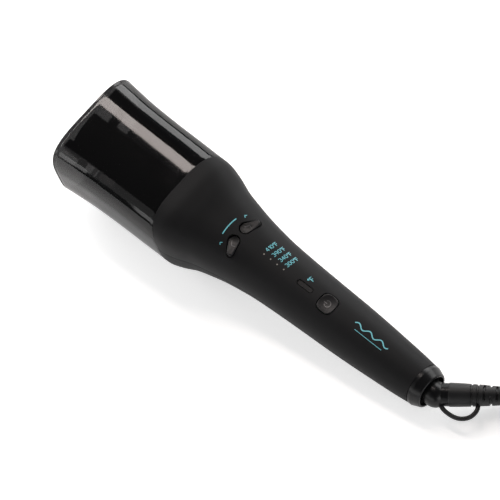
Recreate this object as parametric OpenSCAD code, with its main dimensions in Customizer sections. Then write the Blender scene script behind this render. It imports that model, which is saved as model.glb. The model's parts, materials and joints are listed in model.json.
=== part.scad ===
// Automatic hair curler, lying on its back on a table with its controls up.
// The mouth of the chamber is at -X and the tail with its cord is at +X. Millimetres.

/* [Chamber] */
// Length of the see-through hood along its front
hood_len = 88; // [84:1:90]
// Half width of the hood next to the housing
hood_half_w = 37.3; // [36.5:0.1:40]
// Half depth of the hood, front to back, next to the housing
hood_half_d = 35; // [33:0.5:37]
// How far the lip of the mouth flares out past the hood
lip_flare = 3; // [1:0.1:3.5]
// Wall of the hood and of the two shells
wall = 1.8; // [1.5:0.1:2]

/* [Barrel and winder] */
// Diameter of the heated barrel
barrel_d = 25; // [22:0.5:28]
// Diameter of the drive shaft that runs through the barrel
shaft_d = 5; // [4:0.1:5.5]
// Distance from the axis to the outside of the winder's hooks
winder_reach = 28; // [26:0.5:28]

/* [Gears] */
// Tooth module of the gear train
gear_module = 0.5; // [0.45:0.01:0.5]
// Teeth of the motor pinion and of the compound gear's small end
pinion_teeth = 14; // [14]
// Teeth of the output gear and of the compound gear's large end
wheel_teeth = 42; // [42]

/* [Controls] */
// Width of the power button
power_w = 13.2; // [11:0.1:14]
// Travel of the buttons
press_travel = 0.6; // [0.3:0.1:0.7]
// Diameter of the four light windows
light_d = 1; // [0.8:0.1:1.6]

/* [Tail and cord] */
// Half width of the handle at its tail
tail_half_w = 15.5; // [15:0.1:16.5]
// Diameter of the mains cord
cord_d = 7; // [6:0.1:7]
// Angle from the tool's axis to the strain relief, across the table
arm_turn = 38; // [32:1:42]

/* [Hidden] */

$fn = 64;

// The tool lies on the back of its housing and on its tail collar, so its axis dips towards the tail.
tail_x = 305;          // end of the shells, from the mouth
tool_end = 314;        // end of the tail collar
rest_x = 97;           // where the back of the housing touches the table
collar_r = tail_half_w;
collar_edge = 1.6;     // rounding of the collar's widest edge, which touches the table
collar_foot = tail_x + 2.6;
foot_drop = hood_half_d - (collar_r - collar_edge);
foot_run = collar_foot - rest_x;
tilt = acos(collar_edge / norm([foot_drop, foot_run])) - atan(foot_run / foot_drop);
axis_height = rest_x * sin(tilt) + hood_half_d * cos(tilt);
middle_x = 172;        // from the mouth to the middle of the tool with its swivel and loop

module lay() {
  translate([-middle_x, 0, axis_height]) rotate([0, tilt, 0]) children();
}

// Turns a shape drawn around Z into one around the tool's axis, starting x from the mouth.
module along_x(x, y = 0, z = 0) {
  translate([x, y, z]) rotate([90, 0, 90]) children();
}

module rod(x1, x2, r, y = 0, z = 0) {
  along_x(x1, y, z) cylinder(h = x2 - x1, r = r);
}

module tube(x1, x2, r_out, r_in, y = 0, z = 0) {
  difference() {
    rod(x1, x2, r_out, y, z);
    rod(x1 - 1, x2 + 1, r_in, y, z);
  }
}

module block(x1, x2, y1, y2, z1, z2) {
  translate([x1, y1, z1]) cube([x2 - x1, y2 - y1, z2 - z1]);
}

// ---- outer form ----

// Half width, half depth and squareness of the cross-section at points along the axis.
half_widths = [
  [0, hood_half_w + lip_flare], [10, hood_half_w + 0.7 * lip_flare], [30, hood_half_w + 0.2 * lip_flare],
  [60, hood_half_w], [rest_x, hood_half_w], [108, hood_half_w - 2.2], [120, hood_half_w - 6.3],
  [132, 28.4], [144, 26.1], [156, 24.4], [168, 23.1], [191, 21.8], [215, 20.9], [239, 20.1], [257, 19.2],
  [275, 18], [293, 16.7], [tail_x, tail_half_w]];
half_depths = [
  [0, hood_half_d + 0.67 * lip_flare], [10, hood_half_d + 0.5 * lip_flare], [30, hood_half_d + 0.17 * lip_flare],
  [60, hood_half_d], [rest_x, hood_half_d], [108, hood_half_d - 2.1], [120, hood_half_d - 5.7],
  [132, 27], [144, 25.2], [156, 23.7], [168, 22.4], [191, 21.2], [215, 20.3], [239, 19.5], [257, 18.6],
  [275, 17.5], [293, 16.2], [tail_x, tail_half_w - 0.4]];
squareness = [[0, 3.7], [60, 3.9], [rest_x, 3.6], [120, 2.9], [144, 2.4], [180, 2.2], [tail_x, 2.05]];

arc_steps = 25;
seam_arch = 5.5;       // how much further back the hood ends at its sides than at its front

function superellipse(a, w, d, e) = [
  w * sign(cos(a)) * pow(abs(cos(a)), 2 / e),
  d * sign(sin(a)) * pow(abs(sin(a)), 2 / e)];

function seam_x(a) = hood_len + seam_arch * pow(cos(a), 2);

function skin(x, a, inset) =
  let (p = superellipse(a, lookup(x, half_widths) - inset, lookup(x, half_depths) - inset, lookup(x, squareness)))
  [x, p[0], p[1]];

function hood_point(s, a, inset) = skin(s * seam_x(a), a, inset);

function shell_point(s, a, inset) = let (x0 = seam_x(a) + 0.1) skin(x0 + s * (tail_x - x0), a, inset);

// Triangles between two rows of n points that start at a and b.
function strip(a, b, n, flip = false) = [
  for (i = [0 : n - 2])
    for (t = flip
        ? [[a + i, b + i, a + i + 1], [a + i + 1, b + i, b + i + 1]]
        : [[a + i, a + i + 1, b + i], [a + i + 1, b + i + 1, b + i]]) t];

// A thin wall whose outside and inside points are rows of n points, one row for each station.
module thin_wall(outside, inside, stations, n, closed) {
  points = [each outside, each inside];
  half = stations * n;
  last = half - n;
  polyhedron(points, [
    for (k = [0 : stations - 2]) each strip(k * n, (k + 1) * n, n, true),
    for (k = [0 : stations - 2]) each strip(half + k * n, half + (k + 1) * n, n),
    each strip(0, half, n),
    each strip(last, half + last, n, true),
    if (!closed)
      for (i = [0, n - 1])
        for (k = [0 : stations - 2])
          let (a = k * n + i, b = a + n)
            for (t = i == 0
                ? [[a, b, half + a], [b, half + b, half + a]]
                : [[a, half + a, b], [b, half + a, half + b]]) t]);
}

// Stations along the hood and along the shells, closer together where the form changes fastest.
hood_stations = [0, 0.11, 0.33, 0.65, 1];
shell_stations = [
  0, 0.041, 0.065, 0.09, 0.12, 0.15, 0.18, 0.23, 0.28, 0.34, 0.46, 0.57, 0.68, 0.77, 0.86, 0.94, 1];

module half_shell(from_angle) {
  angles = [for (i = [0 : arc_steps]) from_angle + 180 * i / arc_steps];
  thin_wall(
    [for (s = shell_stations) for (a = angles) shell_point(s, a, 0)],
    [for (s = shell_stations) for (a = angles) shell_point(s, a, wall)],
    len(shell_stations), len(angles), false);
}

// ---- places along the tool ----

flange_x = 84;         // front of the barrel's flange
bulkhead_x = 87;       // front of the wall that closes the chamber
plate_1_x = 96;        // front gear plate
plate_2_x = 114;       // rear gear plate, which carries the motor
plate_t = 1.5;
shaft_r = shaft_d / 2;
run_gap = 0.05;        // radial clearance of a running fit
barrel_r = barrel_d / 2;
barrel_wall = 1.8;
barrel_front = 11;
hub_x = 3;             // front of the winder's hub
hub_len = 5;
arm_x = 3.5;
gear_centres = gear_module * (pinion_teeth + wheel_teeth) / 2;
axle_r = 1.5;
motor_x = plate_2_x + plate_t;
motor_len = 31;
motor_r = 11.6;
motor_shaft_r = 1;
board_z = 12.4;        // underside of the circuit board
board_t = 1.6;
board_top = board_z + board_t;
switch_h = 2;
plunger_r = 1.7;
plunger_h = 0.9;
plunger_top = board_top + switch_h + plunger_h;
direction_x = 144;
power_x = 223;
light_xs = [165, 171, 177, 183];
lens_x1 = 196;
lens_x2 = 209;
lens_half_w = 1.55;
button_gap = 0.35;
screw_places = [[125, 22], [125, -22], [256, 0]];
boss_r = 3.4;

// Height of the front face above the tool's axis on the centre line
function front_z(x) = lookup(x, half_depths);

// ---- controls ----

// Outline of a direction button: blunt end by the centre line, narrow end out and back.
module leaf(side, grow) {
  hull() {
    translate([-1.2, side * 6.1]) circle(r = 4.1 + grow, $fn = 32);
    translate([2, side * 13.6]) circle(r = 2.4 + grow, $fn = 32);
  }
}

module direction_prism(side, grow, z1, z2) {
  translate([direction_x, 0, z1]) linear_extrude(z2 - z1) leaf(side, grow);
}

function rounded_square(half) = [for (i = [0 : 47]) superellipse(i * 7.5, half, half, 3.2)];

module power_prism(grow, z1, z2) {
  translate([power_x, 0, z1]) linear_extrude(z2 - z1) polygon(rounded_square(power_w / 2 + grow));
}

module lens_prism(grow, z1, z2) {
  r = lens_half_w + grow;
  block(lens_x1 + r, lens_x2 - r, -r, r, z1, z2);
  for (x = [lens_x1 + r, lens_x2 - r]) translate([x, 0, z1]) cylinder(h = z2 - z1, r = r);
}

// ---- root: shells and chamber ----

module front_shell() {
  color("#1c1c1e") lay() difference() {
    union() {
      half_shell(0);
      for (p = screw_places)
        translate([p[0], p[1], 0.1])
          cylinder(h = (p[1] == 0 ? front_z(p[0]) : front_z(p[0]) - 8) - wall / 2, r = boss_r);
    }
    for (side = [-1, 1]) direction_prism(side, button_gap, 15, 40);
    power_prism(button_gap, 12, 40);
    lens_prism(0, 12, 40);
    for (x = light_xs) translate([x, 0, 12]) cylinder(h = 30, r = light_d / 2);
    for (p = screw_places) translate([p[0], p[1], -1]) cylinder(h = 10, r = 1.2);
  }
}

module rear_shell() {
  color("#1c1c1e") lay() difference() {
    union() {
      half_shell(180);
      for (p = screw_places)
        let (depth = (p[1] == 0 ? front_z(p[0]) : front_z(p[0]) - 8) - wall / 2)
          translate([p[0], p[1], -depth]) cylinder(h = depth - 0.1, r = boss_r);
    }
    for (p = screw_places) {
      translate([p[0], p[1], -50]) cylinder(h = 60, r = 1.5);
      translate([p[0], p[1], -50]) cylinder(h = 50 - 8, r = 2.6);
    }
  }
}

module chamber_hood() {
  angles = [for (i = [0 : 2 * arc_steps]) 360 * i / (2 * arc_steps)];
  color([0.25, 0.22, 0.2, 0.5]) lay()
    thin_wall(
      [for (s = hood_stations) for (a = angles) hood_point(s, a, 0)],
      [for (s = hood_stations) for (a = angles) hood_point(s, a, wall)],
      len(hood_stations), len(angles), true);
}

// The wall that closes the chamber: a plate with a rim that joins the hood to the shells.
module chamber_bulkhead() {
  rim_front = hood_len - 5;
  rim_back = rest_x - 1.5;
  rim_gap = wall + 0.15;
  angles = [for (i = [0 : 2 * arc_steps - 1]) 180 * i / arc_steps];
  rim = 1.6;
  color("#141414") lay() {
    difference() {
      slab(rim_front, rim_back, rim_gap, angles);
      difference() {
        slab(rim_front - 1, rim_back + 1, rim_gap + rim, angles);
        block(bulkhead_x, bulkhead_x + 2, -50, 50, -50, 50);
      }
      rod(bulkhead_x - 1, bulkhead_x + 5, 9.2);
      for (i = [0 : 5]) rod(bulkhead_x - 1, bulkhead_x + 5, 1.5, 24 * cos(30 + 60 * i), 24 * sin(30 + 60 * i));
    }
  }
}

// A solid slice of the outer form, inset from its skin.
module slab(x1, x2, inset, angles) {
  n = len(angles);
  polyhedron(
    [for (x = [x1, x2]) for (a = angles) skin(x, a, inset)],
    [[for (i = [0 : n - 1]) i],
     [for (i = [n - 1 : -1 : 0]) n + i],
     for (i = [0 : n - 1])
       let (j = (i + 1) % n)
         for (t = [[j, i, n + i], [j, n + i, n + j]]) t]);
}

// Rail under the hood's front wall that leads the hair to the winder, with a stop block at the mouth.
module guide_rail(side) {
  y_front = 23.5;
  y_back = 18.5;
  color("#101010") lay() {
    hull() {
      block(3, 4, side * y_front - 3.2, side * y_front + 3.2, 27.5, 31.4);
      block(hood_len - 6, hood_len - 5.1, side * y_back - 3.2, side * y_back + 3.2, 27, 31);
    }
    block(3, 16, side * y_front - 4, side * y_front + 2.6, 26, 31.2);
  }
}

module guide_rail_left() { guide_rail(1); }

module guide_rail_right() { guide_rail(-1); }

// ---- root: barrel ----

module heating_barrel() {
  color("#232326") lay() tube(barrel_front, flange_x, barrel_r, barrel_r - barrel_wall);
}

module barrel_cap() {
  color("#1a1a1a") lay() difference() {
    union() {
      rod(barrel_front - 2, barrel_front, barrel_r);
      rod(barrel_front, barrel_front + 6, barrel_r - barrel_wall);
    }
    rod(barrel_front - 3, barrel_front + 8, shaft_r + 1.5);
  }
}

module barrel_flange() {
  color("#2a2522") lay() difference() {
    union() {
      rod(flange_x - 6, flange_x, barrel_r - barrel_wall);
      rod(flange_x, bulkhead_x, 17);
      rod(bulkhead_x, bulkhead_x + 6, 9.2);
    }
    rod(flange_x - 7, bulkhead_x + 7, shaft_r + 1.2);
  }
}

module ceramic_heater() {
  color("#e8e4da") lay() tube(24, 70, 8.2, 6.2);
}

module heat_spreader() {
  color("#b8bcc2") lay() difference() {
    tube(22, 72, barrel_r - barrel_wall, 8.2);
    block(40, 62, -1.6, 1.6, 8, 12);
    block(44, 58, -1.6, 1.6, -12, -8);
  }
}

module temperature_sensor() {
  color("#c46a2a") lay() block(46, 52, -1.2, 1.2, 8.4, 9.8);
}

module thermal_fuse() {
  color("#d8d0c0") lay() rod(46, 56, 1, 0, -9.3);
}

module bush(x1, x2, r_out) {
  color("#b08d57") lay() tube(x1, x2, r_out, shaft_r + run_gap);
}

module front_bush() { bush(barrel_front - 1, barrel_front + 5, shaft_r + 1.5); }

module rear_bush() { bush(plate_1_x - 1, plate_1_x + 2.5, shaft_r + 2); }

// ---- root: gearbox and motor ----

pillar_places = [[19, 12], [-19, 12], [16, -17], [-16, -17]];

module gear_plate(x) {
  intersection() {
    rod(x, x + plate_t, 27);
    block(x, x + plate_t, -23, 23, -25, 18);
  }
}

module gear_plate_front() {
  color("#9a9ca0") lay() difference() {
    gear_plate(plate_1_x);
    rod(plate_1_x - 1, plate_1_x + 5, shaft_r + 2);
    rod(plate_1_x - 1, plate_1_x + 5, axle_r, 0, -gear_centres);
    for (p = pillar_places) rod(plate_1_x - 1, plate_1_x + 5, 1.3, p[0], p[1]);
  }
}

module gear_plate_rear() {
  color("#9a9ca0") lay() difference() {
    gear_plate(plate_2_x);
    rod(plate_2_x - 1, plate_2_x + 5, 3.2);
    rod(plate_2_x - 1, plate_2_x + 5, axle_r, 0, -gear_centres);
    for (p = pillar_places) rod(plate_2_x - 1, plate_2_x + 5, 1.3, p[0], p[1]);
  }
}

module gearbox_pillars() {
  color("#c0c2c6") lay()
    for (p = pillar_places) tube(plate_1_x + plate_t, plate_2_x, 2.4, 1.1, p[0], p[1]);
}

module gearbox_screws() {
  color("#6a6c70") lay() for (p = pillar_places) {
    rod(plate_2_x - 6, plate_2_x + plate_t, 1.1, p[0], p[1]);
    difference() {
      rod(plate_2_x + plate_t, plate_2_x + plate_t + 1.6, 2.2, p[0], p[1]);
      block(plate_2_x + plate_t + 0.9, plate_2_x + 6, p[0] - 3, p[0] + 3, p[1] - 0.3, p[1] + 0.3);
    }
  }
}

module gear_axle() {
  color("#c8cacd") lay() rod(plate_1_x, plate_2_x + plate_t, axle_r, 0, -gear_centres);
}

module motor_body() {
  color("#8e9196") lay() difference() {
    union() {
      intersection() {
        rod(motor_x, motor_x + motor_len, motor_r);
        block(motor_x, motor_x + motor_len, -motor_r, motor_r, -9.5, 9.5);
      }
      rod(motor_x - plate_t, motor_x, 3.1);
      rod(motor_x + motor_len, motor_x + motor_len + 2, 4);
    }
    rod(motor_x - 5, motor_x + motor_len + 1, motor_shaft_r + run_gap);
  }
}

// ---- root: electronics ----

module circuit_board() {
  color("#1f5a34") lay() translate([0, 0, board_z]) linear_extrude(board_t) difference() {
    polygon([[136, -13], [158, -13], [164, -10.5], [238, -10.5], [238, 10.5], [164, 10.5], [158, 13], [136, 13]]);
    for (x = [139, 235]) translate([x, 0]) circle(r = 1.4);
  }
}

switch_places = [[direction_x - 1, 8], [direction_x - 1, -8], [power_x, 0]];

module switch_bodies() {
  color("#d7d7d2") lay() for (p = switch_places) difference() {
    block(p[0] - 3, p[0] + 3, p[1] - 3, p[1] + 3, board_top, board_top + switch_h);
    translate([p[0], p[1], board_top + 0.5]) cylinder(h = 5, r = plunger_r + 0.1);
  }
}

module board_parts() {
  color("#2b2b2e") lay() {
    block(190, 202, -8, 0, board_z - 2.4, board_z);
    block(206, 214, 2, 9, board_z - 4.5, board_z);
    translate([178, 4, board_z - 9]) cylinder(h = 9, r = 4);
    block(168, 172, -9, -6, board_top, board_top + 1);
    block(214, 217, 5, 9, board_top, board_top + 1.2);
  }
}

module status_lights() {
  color("#f2efe4") lay() for (x = light_xs) block(x - 1, x + 1, -0.6, 0.6, board_top, board_top + 0.8);
}

module light_windows() {
  color("#e6e6e0") lay()
    for (x = light_xs)
      translate([x, 0, board_top + 1]) cylinder(h = front_z(x) - board_top - 1.05, r = light_d / 2);
}

module indicator_lens() {
  color("#3a3a3c") lay() {
    lens_prism(0, board_top + 2, front_z(lens_x2) - 0.2);
    block(lens_x1 + 1, lens_x2 - 1, -3, 3, board_top + 1.2, board_top + 2);
  }
}

// ---- root: fasteners and tail ----

module shell_screws() {
  color("#5a5c60") lay() for (p = screw_places) {
    translate([p[0], p[1], -8]) cylinder(h = 15, r = 1.2);
    difference() {
      translate([p[0], p[1], -10]) cylinder(h = 2, r = 2.4);
      for (turn = [0, 90]) translate([p[0], p[1], -10]) rotate([0, 0, turn]) cube([3, 0.6, 1.6], center = true);
    }
  }
}

neck_r = 9;
rim_r = 13.4;
journal_r = 5.5;
retainer_r = 7.5;
journal_x1 = 289;
journal_x2 = 302;

// Ring that closes the end of the shells around the swivelling neck.
module collar_ring() {
  bore = neck_r + 0.8;
  color("#161617") lay() along_x(tail_x) rotate_extrude() difference() {
    hull() {
      translate([bore, 0]) square([collar_r - bore, collar_foot - tail_x]);
      translate([collar_r - collar_edge, collar_foot - tail_x]) circle(r = collar_edge);
      translate([bore, 0]) square([rim_r - bore - 1, tool_end - tail_x]);
      translate([rim_r - 1, tool_end - tail_x - 1]) circle(r = 1);
    }
    translate([0, tool_end - tail_x - 4]) square([neck_r + 2.8, 10]);
    translate([collar_r - 0.5, 0]) square([2, 0.8]);
  }
}

module swivel_socket() {
  color("#d9d4c8") lay() difference() {
    rod(282, 304.5, 12.5);
    rod(282 - 1, journal_x1, retainer_r + 0.4);
    rod(journal_x1 - 1, 306, journal_r + run_gap);
    rod(journal_x2, 306, neck_r + 0.5);
  }
}

module contact_leaves() {
  color("#c9a24a") lay() for (i = [0, 1]) {
    side = i == 0 ? 1 : -1;
    x = 273 + 5 * i;
    block(x, x + 2.4, -2, 2, side * 5.3 - 0.3, side * 5.3 + 0.3);
    block(x, x + 2.4, -2, -1.4, side * 5.3 - 0.6, side * 5.3 + 0.6);
  }
}

// ---- winder: turns with the drive shaft ----

module drive_shaft() {
  color("#c8cacd") lay() difference() {
    rod(1.2, 106, shaft_r);
    block(101, 107, -shaft_r, shaft_r, shaft_r - 0.5, shaft_r + 1);
  }
}

vane_r = winder_reach + 1;
vane_t = 1.6;
vane_turn = 109;       // where the vane stands at rest, from +Y towards the controls
vane_half = 29;        // half of the arc that the vane covers
hook_turn = 12;

// Turns a shape on the winder about the tool's axis.
module on_winder(turn) {
  rotate([turn, 0, 0]) children();
}

// Hub in front of the barrel with two arms for the hooks and a spoke for the vane.
module winder_rotor() {
  color("#161616") lay() difference() {
    union() {
      rod(hub_x, hub_x + hub_len, 9.5);
      on_winder(hook_turn) intersection() {
        block(arm_x, arm_x + 3.5, -winder_reach, winder_reach, -4.2, 4.2);
        rod(arm_x, arm_x + 3.5, winder_reach - 3.2);
      }
      on_winder(vane_turn) intersection() {
        block(arm_x, arm_x + 3.5, 0, vane_r, -5, 5);
        rod(arm_x, arm_x + 3.5, vane_r - vane_t);
      }
    }
    rod(hub_x - 1, hub_x + hub_len + 1, shaft_r);
  }
}

// Curved plate that sweeps round the barrel and lays the hair on it.
module winder_vane() {
  reach = 2 * vane_r;
  color("#0c0c0c") lay() on_winder(vane_turn) intersection() {
    tube(2, flange_x - 1, vane_r, vane_r - vane_t);
    along_x(1) linear_extrude(flange_x)
      polygon([[0, 0], [reach * cos(vane_half), -reach * sin(vane_half)],
               [reach * cos(vane_half), reach * sin(vane_half)]]);
  }
}

// See-through fingers that run back from the arms beside the barrel.
module winder_hooks() {
  color([0.3, 0.28, 0.26, 0.6]) lay() on_winder(hook_turn) for (side = [-1, 1]) intersection() {
    difference() {
      rod(arm_x, 27, winder_reach);
      rod(arm_x - 1, 28, winder_reach - 3.2);
    }
    block(arm_x, 27, side > 0 ? 10 : -winder_reach, side > 0 ? winder_reach : -10, -5, 5);
  }
}

module hook_studs() {
  stud_foot = 17.5;
  color("#d6d8db") lay() on_winder(hook_turn) for (side = [-1, 1])
    translate([20, side * stud_foot, 0]) rotate([-90 * side, 0, 0])
      cylinder(h = winder_reach - 3.4 - stud_foot, r1 = 1, r2 = 2.2);
}

module winder_nut() {
  color("#9a9ca0") lay() difference() {
    along_x(hub_x - 1.8) cylinder(h = 1.8, r = 4.6, $fn = 6);
    rod(hub_x - 3, hub_x + 1, shaft_r);
  }
}

// ---- gears ----

pressure_angle = 20;
backlash = 0.12;

function involute(a) = tan(a) * 180 / PI - a;

// Half of a tooth's angle at radius r, on a gear with that many teeth.
function tooth_half(r, teeth) =
  let (
    pitch_r = gear_module * teeth / 2,
    base_r = pitch_r * cos(pressure_angle),
    a = acos(min(1, base_r / max(r, base_r))))
  90 / teeth - backlash / 4 / pitch_r * 180 / PI + involute(pressure_angle) - involute(a);

function gear_outline(teeth, turn) =
  let (
    pitch_r = gear_module * teeth / 2,
    root = pitch_r - 1.2 * gear_module,
    tip = pitch_r + 0.9 * gear_module,
    radii = [root, pitch_r - 0.45 * gear_module, pitch_r, pitch_r + 0.5 * gear_module, tip])
  [for (i = [0 : teeth - 1])
    for (k = [0 : 9])
      let (r = radii[k < 5 ? k : 9 - k], a = turn + 360 * i / teeth + (k < 5 ? -1 : 1) * tooth_half(r, teeth))
        [r * cos(a), r * sin(a)]];

module gear(x, teeth, width, turn, z = 0) {
  along_x(x, 0, z) linear_extrude(width) polygon(gear_outline(teeth, turn));
}

small_turn = 180 / pinion_teeth;   // puts a tooth of the small gears on the line of centres

module output_gear() {
  color("#e4e0d4") lay() difference() {
    union() {
      gear(101, wheel_teeth, 5, 0);
      rod(99.2, 101, 5);
    }
    difference() {
      rod(99, 107, shaft_r);
      block(101, 107, -shaft_r, shaft_r, shaft_r - 0.5, shaft_r + 1);
    }
  }
}

module compound_gear() {
  color("#e4e0d4") lay() difference() {
    union() {
      gear(100, pinion_teeth, 7.5, small_turn, -gear_centres);
      gear(107.5, wheel_teeth, 4, 0, -gear_centres);
      rod(97.8, 100, 2.6, 0, -gear_centres);
      rod(111.5, 113.8, 2.6, 0, -gear_centres);
    }
    rod(97, 115, axle_r + run_gap, 0, -gear_centres);
  }
}

module motor_shaft() {
  color("#c8cacd") lay() rod(106.8, motor_x + motor_len, motor_shaft_r);
}

module motor_pinion() {
  color("#b08d57") lay() difference() {
    gear(107, pinion_teeth, 5.2, small_turn);
    rod(106, 114, motor_shaft_r);
  }
}

// ---- buttons ----

button_rise = 0.5;     // how far the buttons stand out of the front face

module switch_plunger(p) {
  color("#b8352b") lay() translate([p[0], p[1], board_top + 1.25])
    cylinder(h = plunger_top - board_top - 1.25, r = plunger_r);
}

module direction_button(side) {
  top = front_z(direction_x) + button_rise - 1.4;
  color("#0f0f10") lay() difference() {
    union() {
      direction_prism(side, 0, top - 3.4, top);
      translate([direction_x - 1, side * 8, plunger_top]) cylinder(h = 5, r = 1.6);
    }
    translate([direction_x - 2, side * 6.5, top + 17.4]) sphere(r = 18);
  }
}

module direction_button_left() { direction_button(1); }

module direction_button_right() { direction_button(-1); }

module left_switch_plunger() { switch_plunger(switch_places[0]); }

module right_switch_plunger() { switch_plunger(switch_places[1]); }

module power_button() {
  top = front_z(power_x) - 0.1;
  color("#0f0f10") lay() difference() {
    union() {
      power_prism(0, top - 1.9, top);
      translate([power_x, 0, plunger_top]) cylinder(h = 2, r = 1.6);
    }
    translate([power_x, 0, top + 29.3]) sphere(r = 30);
  }
}

module power_switch_plunger() { switch_plunger(switch_places[2]); }

// ---- swivel: turns about the tool's axis ----

elbow_x = 317.5;         // where the strain relief's line meets the tool's axis
elbow_r = 8.2;

module swivel_neck() {
  color("#151515") lay() difference() {
    union() {
      rod(journal_x1 - 5, journal_x1 - 0.2, retainer_r);
      rod(journal_x1 - 0.2, journal_x2 + 0.3, journal_r);
      rod(journal_x2 + 0.3, elbow_x - 6, neck_r);
      rod(271.5, journal_x1 - 5, 3);
    }
    rod(270, elbow_x, 1.2);
  }
}

module slip_rings() {
  color("#c9a24a") lay() for (x = [272.5, 277.5]) tube(x, x + 3.6, 4.6, 3);
}

// Places a shape drawn around Z along the strain relief's line, which dips to the table.
arm_dip = 7.5;
elbow_at = [elbow_x * cos(tilt) - middle_x, 0, axis_height - elbow_x * sin(tilt)];

module along_arm(t) {
  translate(elbow_at) rotate([0, 90 + arm_dip, arm_turn]) translate([0, 0, t]) children();
}

module swivel_elbow() {
  arm_r = elbow_r - 0.3;
  color("#151515") {
    lay() along_x(elbow_x - 6) rotate_extrude() intersection() {
      union() {
        square([neck_r, 6]);
        translate([0, 6]) circle(r = neck_r);
      }
      square([neck_r, 6 + neck_r]);
    }
    along_arm(0) cylinder(h = boot_start, r = arm_r);
  }
}

boot_start = 9.4;
boot_end = 66;
boot_ribs = 8;
boot_end_r = cord_d / 2 + 0.9;

function boot_r(t) = elbow_r + (boot_end_r - elbow_r) * pow((t - boot_start) / (boot_end - boot_start), 1.5);

module strain_relief_boot() {
  pitch = 4.3;
  groove = 1.3;
  color("#151515") along_arm(0) rotate_extrude() difference() {
    polygon([
      [0, boot_start], for (i = [0 : 12]) let (t = boot_start + (boot_end - boot_start) * i / 12) [boot_r(t), t],
      [0, boot_end]]);
    for (i = [0 : boot_ribs - 1])
      let (t = 24 + pitch * i) translate([boot_r(t) - 0.9, t]) square([3, groove]);
  }
}

// A thin loop moulded from the elbow to the strain relief, to hang the tool by.
loop_r = 1.6;
loop_rise = 1.4;       // how far the loop's line dips below the boot's, sideways of it

// Points along the loop: along the arm, then sideways towards the front of the table.
loop_shape = [[3, 6.5], [6, 10], [12, 14.5], [19, 17], [25, 16], [28.5, 12], [29, 6.8]];

module hanging_loop() {
  color("#151515") along_arm(0)
    sweep([for (p = loop_shape) [loop_rise, -p[1], p[0]]], loop_r, 8);
}

// ---- cord, lying on the table ----

function unit(v) = v / norm(v);

// A round bar through the points of a route: rings of n points on planes that halve each bend.
module sweep(route, r, n) {
  count = len(route);
  function along(i) =
    unit(route[min(i + 1, count - 1)] - route[max(i - 1, 0)]);
  function side(i) =
    let (d = along(i), across = cross(d, abs(d[2]) < 0.9 ? [0, 0, 1] : [1, 0, 0])) unit(across);
  points = [for (i = [0 : count - 1]) for (k = [0 : n - 1])
    let (s = side(i), u = cross(s, along(i)), a = 360 * k / n)
      route[i] + r * (cos(a) * s + sin(a) * u)];
  polyhedron(points, [
    [for (k = [0 : n - 1]) k],
    [for (k = [n - 1 : -1 : 0]) (count - 1) * n + k],
    for (i = [0 : count - 2])
      for (k = [0 : n - 1])
        let (a = i * n + k, b = i * n + (k + 1) % n)
          for (t = [[b, a, a + n], [b, a + n, b + n]]) t]);
}

tie_t = 0.8;
coil_at = [261.2, 29, 0];
coil_mid_r = 37;       // middle of the turns: about 11 cord diameters across
coil_in_r = coil_mid_r - 1.5 * cord_d - 0.2;
coil_out_r = coil_mid_r + 1.5 * cord_d + 0.2;
boot_mouth = elbow_at + (boot_end + 0.3) * [cos(arm_dip) * cos(arm_turn), cos(arm_dip) * sin(arm_turn), -sin(arm_dip)];
cord_lead_route = [boot_mouth, [206, 47.9, 4.7], [216, 53.9, 4.05], [226.2, 59.5, 4.3]];
cord_end_route = [
  [291.7, 59.5, 18], [300, 53, 17], [307.5, 43.5, 14], [313, 32.5, 11], [316.5, 21.5, 8.7], [317.2, 13, 8]];

module cord_lead() {
  color("#121212") sweep(cord_lead_route, cord_d / 2, 10);
}

module cord_coil() {
  low = tie_t;
  two = low + 2 * cord_d;
  rounding = 3;
  color("#121212") translate(coil_at) rotate_extrude(convexity = 4) union() {
    translate([coil_in_r, low + rounding]) square([coil_out_r - coil_in_r, two - low - 2 * rounding]);
    translate([coil_in_r + rounding, low]) square([coil_out_r - coil_in_r - 2 * rounding, two - low]);
    for (r = [coil_in_r + rounding, coil_out_r - rounding])
      for (z = [low + rounding, two - rounding]) translate([r, z]) circle(r = rounding);
    translate([coil_out_r - 1 - cord_d / 2, two + cord_d / 2 - 0.2]) circle(r = cord_d / 2);
  }
}

module cord_end() {
  color("#121212") sweep(cord_end_route, cord_d / 2, 10);
}

module cord_ties() {
  strap_w = 9;
  high = tie_t + 2 * cord_d;
  color("#202022") translate(coil_at) for (turn = [70, 250]) rotate([0, 0, turn]) difference() {
    translate([coil_in_r - tie_t, -strap_w / 2, 0])
      cube([coil_out_r - coil_in_r + 2 * tie_t, strap_w, high + cord_d + 0.8]);
    translate([coil_in_r, -strap_w, tie_t]) cube([coil_out_r - coil_in_r, 2 * strap_w, high + cord_d - 0.8]);
  }
}

plug_at = [317.2, 13, 8];

module plug_body() {
  color("#141414") translate(plug_at) rotate([90, 0, 0]) {
    cylinder(h = 14, r1 = cord_d / 2 + 0.8, r2 = 6);
    translate([0, 0, 14]) linear_extrude(24) intersection() {
      square([24, 16], center = true);
      circle(r = 12.8);
    }
  }
}

module plug_blades() {
  blade_gap = 12.7;
  color("#c8b070") translate(plug_at) rotate([90, 0, 0]) for (side = [-1, 1]) difference() {
    translate([side * blade_gap / 2 - 0.75, -3.2, 38]) cube([1.5, 6.4, 16]);
    translate([side * blade_gap / 2 - 2, 0, 50]) rotate([0, 90, 0]) cylinder(h = 4, r = 1.6);
  }
}

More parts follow.
